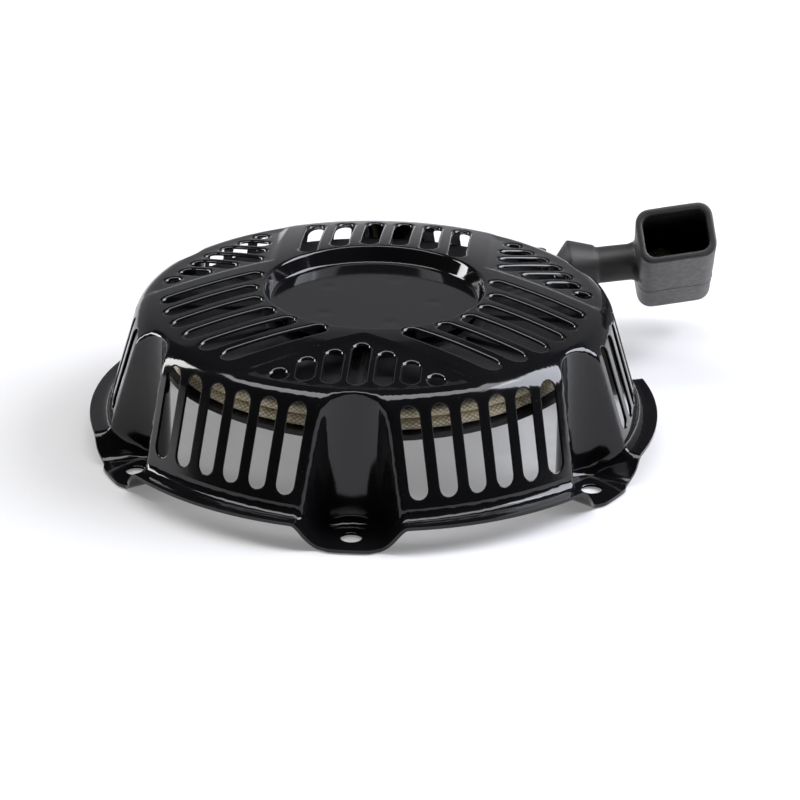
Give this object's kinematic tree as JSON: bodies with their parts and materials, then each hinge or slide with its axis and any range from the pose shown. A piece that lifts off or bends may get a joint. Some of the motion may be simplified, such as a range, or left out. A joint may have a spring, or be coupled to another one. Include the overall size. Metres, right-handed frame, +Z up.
{
  "type": "recoil starter",
  "caption": "Round pressed-steel recoil starter: slotted domed cover on bolt-down feet, sprung rope reel, ratchet pawls and a rubber T-grip on a pull rope.",
  "frame": {"origin": "centre of the bolt circle, on the plane of the feet's undersides", "axes": "+Z up the reel's spin axis towards the domed top; -Y towards one foot; the rope is pulled out towards +X, 7.5 degrees round towards +Y and rising 5.5 degrees"},
  "size_m": [0.2236, 0.2187, 0.0715],
  "materials": {
    "black_enamel": "gloss black baked enamel on pressed steel",
    "zinc_steel": "zinc-plated steel",
    "spring_steel": "blued spring steel, lightly oiled",
    "black_nylon": "moulded black nylon",
    "braided_rope": "braided cream starter rope",
    "black_rubber": "matt moulded black rubber"
  },
  "bodies": {
    "housing": {"cover": "black_enamel", "rope_guide": "zinc_steel", "post_plate": "zinc_steel", "centre_post": "zinc_steel", "screw_washer": "zinc_steel", "centre_screw": "zinc_steel", "friction_spring": "spring_steel", "rope_run": "braided_rope"},
    "reel_body": {"reel": "black_nylon", "rope_coil": "braided_rope", "reel_knot": "braided_rope", "main_spring": "spring_steel", "thrust_washer": "zinc_steel", "pawl_spring_a": "spring_steel", "pawl_spring_b": "spring_steel"},
    "guide_body": {"ratchet_guide": "zinc_steel"},
    "pawl_a_body": {"pawl_a": "zinc_steel"},
    "pawl_b_body": {"pawl_b": "zinc_steel"},
    "grip_body": {"grip": "black_rubber", "grip_washer": "zinc_steel", "grip_rope_end": "braided_rope"}
  },
  "joints": [
    {"name": "grip_pull", "type": "slide", "parent": "housing", "child": "grip_body", "axis": [0.9869, 0.1299, 0.0958], "range_m": [0, 1.1], "stiffness_N_per_m": 10, "springref_m": -0.8},
    {"name": "reel_spin", "type": "hinge", "parent": "housing", "child": "reel_body", "pos_m": [0, 0, 0.03], "axis": [0, 0, 1], "range_deg": [-880, 0], "deforming": ["main_spring"]},
    {"name": "guide_turn", "type": "hinge", "parent": "reel_body", "child": "guide_body", "pos_m": [0, 0, 0.0205], "axis": [0, 0, 1], "range_deg": [0, 35], "stiffness_Nm_per_rad": 0.005, "springref_deg": -20.05},
    {"name": "pawl_a_swing", "type": "hinge", "parent": "reel_body", "child": "pawl_a_body", "pos_m": [0.01928, -0.02298, 0.0243], "axis": [0, 0, 1], "range_deg": [0, 28.5], "deforming": ["pawl_spring_a"]},
    {"name": "pawl_b_swing", "type": "hinge", "parent": "reel_body", "child": "pawl_b_body", "pos_m": [-0.01928, 0.02298, 0.0243], "axis": [0, 0, 1], "range_deg": [0, 28.5], "deforming": ["pawl_spring_b"]}
  ],
  "couplings": [
    {"joint": "reel_spin", "follows": "grip_pull", "rad_per_m": -13.889},
    {"joint": "pawl_a_swing", "follows": "guide_turn", "ratio": 0.8},
    {"joint": "pawl_b_swing", "follows": "guide_turn", "ratio": 0.8}
  ]
}
